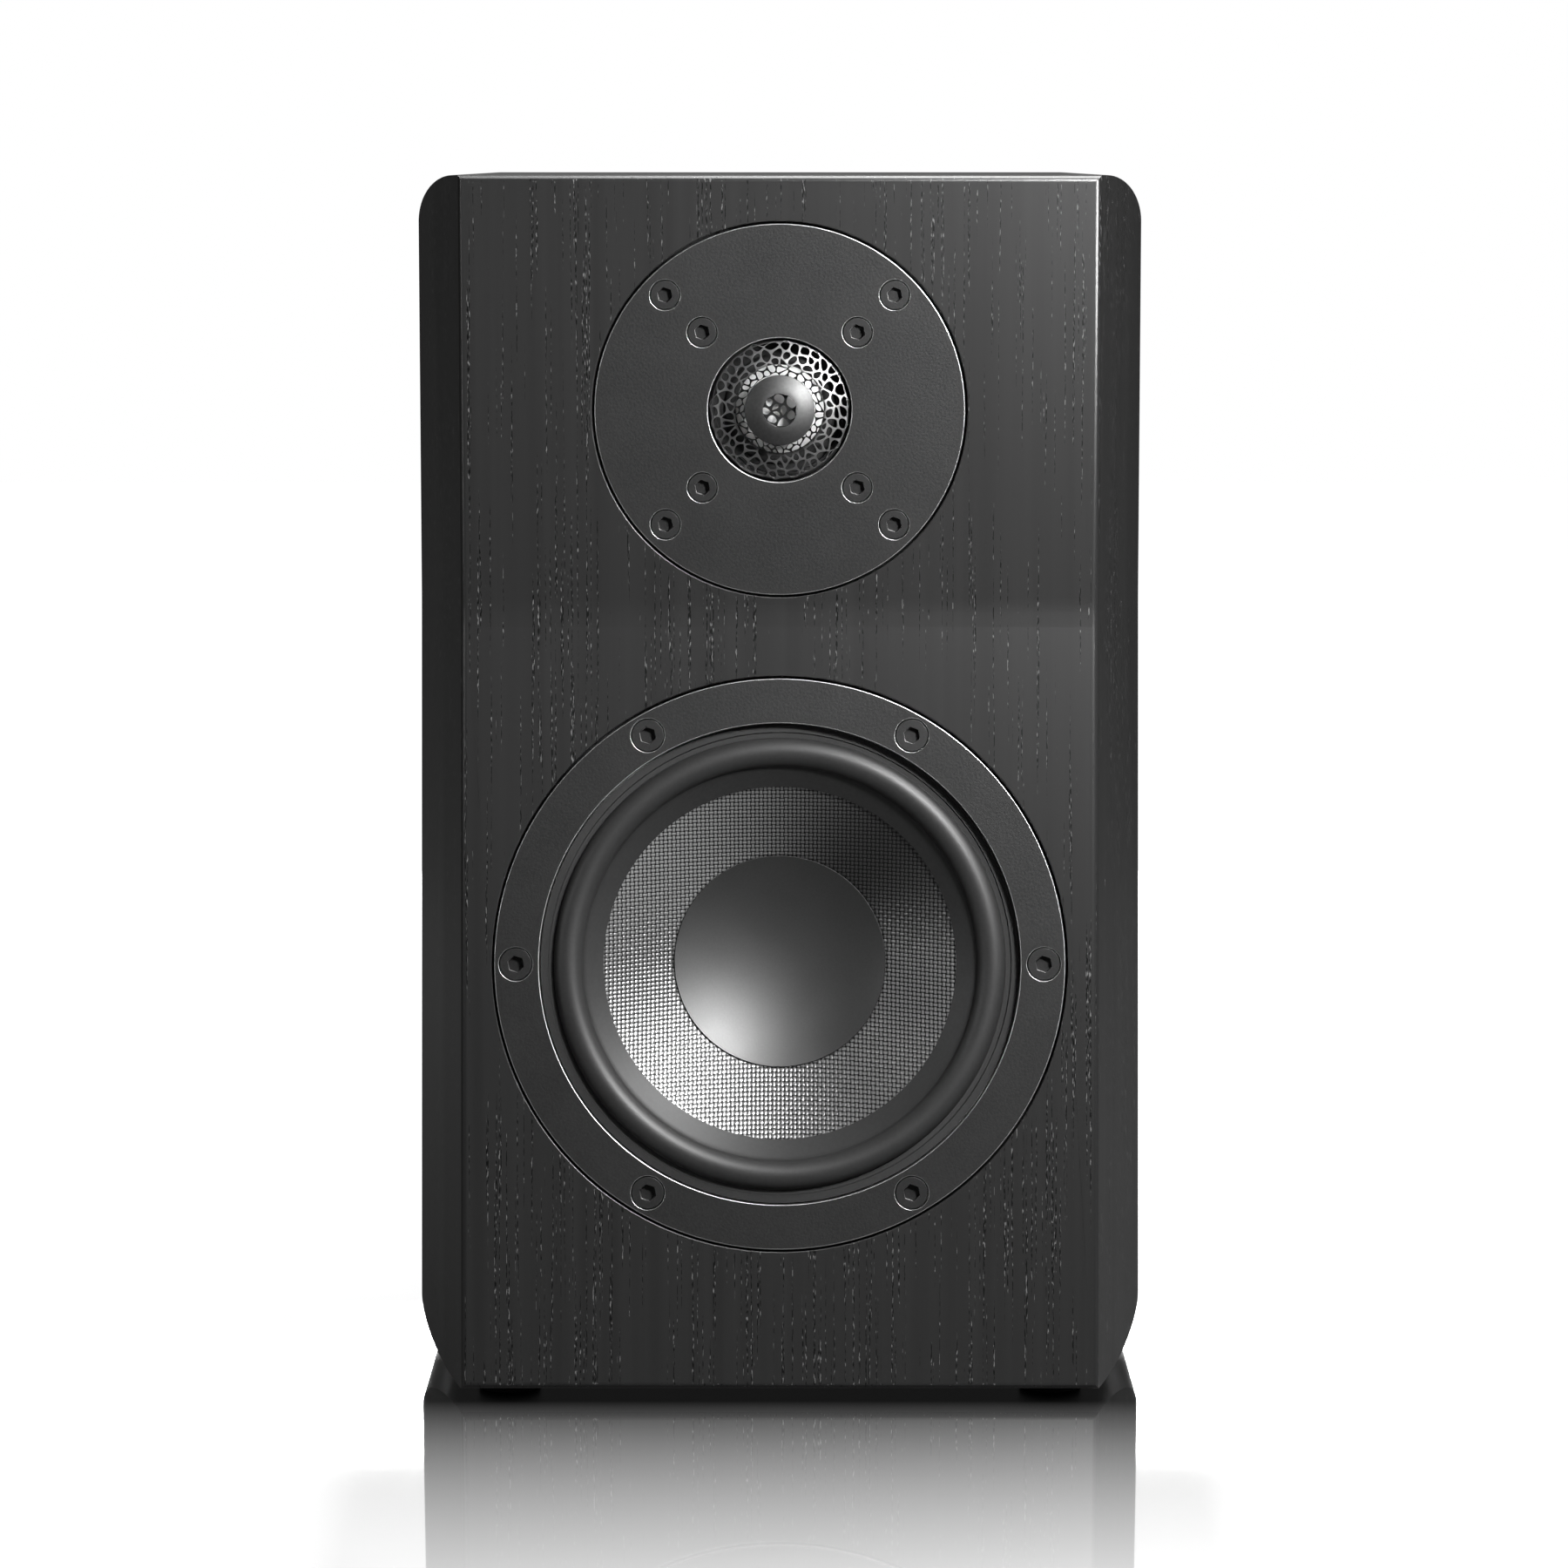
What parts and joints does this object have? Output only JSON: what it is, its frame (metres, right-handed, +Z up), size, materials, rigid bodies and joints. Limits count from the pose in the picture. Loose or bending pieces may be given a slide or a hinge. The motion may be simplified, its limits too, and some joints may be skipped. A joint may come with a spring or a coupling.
{
  "type": "bookshelf loudspeaker",
  "caption": "Two-way bookshelf loudspeaker with a bent front, a woven-cone woofer, a dome tweeter behind a cell lattice, a rear port and screw-down cable posts.",
  "frame": {"origin": "On the floor, in the middle of the overall width and depth.", "axes": "+Z is up, the front with both drivers faces -Y, +X is to the right of a viewer facing the front."},
  "size_m": [0.215, 0.3004, 0.3505],
  "materials": {
    "veneer": "satin black-stained open-pore veneer",
    "rear_paint": "matt black painted fibreboard",
    "board_stock": "raw fibreboard",
    "foot_rubber": "matt",
    "wadding": "soft fibre",
    "port_plastic": "fine texture",
    "terminal_black": "satin black anodised",
    "foam_gasket": "closed-cell foam",
    "black_steel": "black oxide",
    "collar_plastic": "smooth",
    "post_metal": "plated, polished",
    "knob_red": "smooth",
    "knob_black": "smooth",
    "powder_coat": "fine-textured powder coat",
    "surround_rubber": "satin moulded",
    "cone_weave": "woven, lacquered",
    "cap_grey": "satin",
    "former_sheet": "thin sheet",
    "winding_copper": "enamelled wire",
    "spider_cloth": "pressed cloth",
    "motor_steel": "plated",
    "ferrite": "ground",
    "tag_board": "laminate",
    "tag_metal": "tinned",
    "lattice_metal": "satin",
    "plug_metal": "satin",
    "dome_metal": "bright",
    "dome_roll": "doped cloth",
    "mount_plastic": "moulded",
    "board_green": "circuit board",
    "standoff_plastic": "nylon",
    "zinc_steel": "zinc plated",
    "capacitor_sleeve": "shrink sleeve",
    "resistor_ceramic": "cement case",
    "lead_sleeve": "insulated wire"
  },
  "bodies": {
    "cabinet": {"front_baffle": "veneer", "left_side_panel": "veneer", "right_side_panel": "veneer", "top_panel": "veneer", "bottom_panel": "veneer", "rear_panel": "rear_paint", "window_brace": "board_stock", "rubber_feet": "foot_rubber", "damping_pads": "wadding", "port_flare": "port_plastic", "port_tube": "port_plastic", "terminal_plate": "terminal_black", "terminal_gasket": "foam_gasket", "woofer_gasket": "foam_gasket", "tweeter_gasket": "foam_gasket", "terminal_screws": "black_steel", "woofer_screws": "black_steel", "tweeter_outer_screws": "black_steel", "tweeter_inner_screws": "black_steel", "post_collars": "collar_plastic", "post_studs": "post_metal", "post_nuts": "post_metal", "woofer_frame": "powder_coat", "tweeter_plate": "powder_coat", "inductors": "winding_copper", "woofer_top_plate": "motor_steel", "woofer_yoke": "motor_steel", "tweeter_top_plate": "motor_steel", "tweeter_yoke": "motor_steel", "woofer_magnet": "ferrite", "tweeter_magnet": "ferrite", "woofer_terminals": "tag_board", "tweeter_terminals": "tag_metal", "tweeter_diffuser": "lattice_metal", "phase_plug": "plug_metal", "tweeter_mount_ring": "mount_plastic", "tweeter_chamber": "mount_plastic", "crossover_board": "board_green", "board_standoffs": "standoff_plastic", "board_screws": "zinc_steel", "capacitors": "capacitor_sleeve", "resistors": "resistor_ceramic", "input_leads": "lead_sleeve", "woofer_leads": "lead_sleeve", "tweeter_leads": "lead_sleeve"},
    "woofer_cone": {"woofer_cone": "cone_weave", "dust_cap": "cap_grey", "woofer_former": "former_sheet", "woofer_coil": "winding_copper", "woofer_surround": "surround_rubber", "woofer_spider": "spider_cloth"},
    "tweeter_dome": {"tweeter_dome": "dome_metal", "tweeter_former": "former_sheet", "tweeter_coil": "winding_copper", "tweeter_surround": "dome_roll"},
    "clamp_washer_positive": {"clamp_washer_positive": "post_metal"},
    "clamp_washer_negative": {"clamp_washer_negative": "post_metal"},
    "post_knob_positive": {"post_knob_positive": "knob_red"},
    "post_knob_negative": {"post_knob_negative": "knob_black"}
  },
  "joints": [
    {"name": "woofer_stroke", "type": "slide", "parent": "cabinet", "child": "woofer_cone", "axis": [0, -0.9927, 0.1207], "range_m": [-0.005, 0.005], "stiffness_N_per_m": 1000, "deforming": ["woofer_surround", "woofer_spider"]},
    {"name": "tweeter_stroke", "type": "slide", "parent": "cabinet", "child": "tweeter_dome", "axis": [0, -1, 0], "range_m": [-0.0004, 0.0004], "stiffness_N_per_m": 120, "deforming": ["tweeter_surround"]},
    {"name": "washer_lift_positive", "type": "slide", "parent": "cabinet", "child": "clamp_washer_positive", "axis": [0, 1, 0], "range_m": [0, 0.004]},
    {"name": "knob_turn_positive", "type": "hinge", "parent": "clamp_washer_positive", "child": "post_knob_positive", "pos_m": [-0.00953, 0.13222, 0.0755], "axis": [0, 1, 0], "range_deg": [0, 1441]},
    {"name": "washer_lift_negative", "type": "slide", "parent": "cabinet", "child": "clamp_washer_negative", "axis": [0, 1, 0], "range_m": [0, 0.004]},
    {"name": "knob_turn_negative", "type": "hinge", "parent": "clamp_washer_negative", "child": "post_knob_negative", "pos_m": [0.00953, 0.13222, 0.0755], "axis": [0, 1, 0], "range_deg": [0, 1441]}
  ],
  "couplings": [
    {"joint": "knob_turn_positive", "follows": "washer_lift_positive", "rad_per_m": 6283.2},
    {"joint": "knob_turn_negative", "follows": "washer_lift_negative", "rad_per_m": 6283.2}
  ]
}
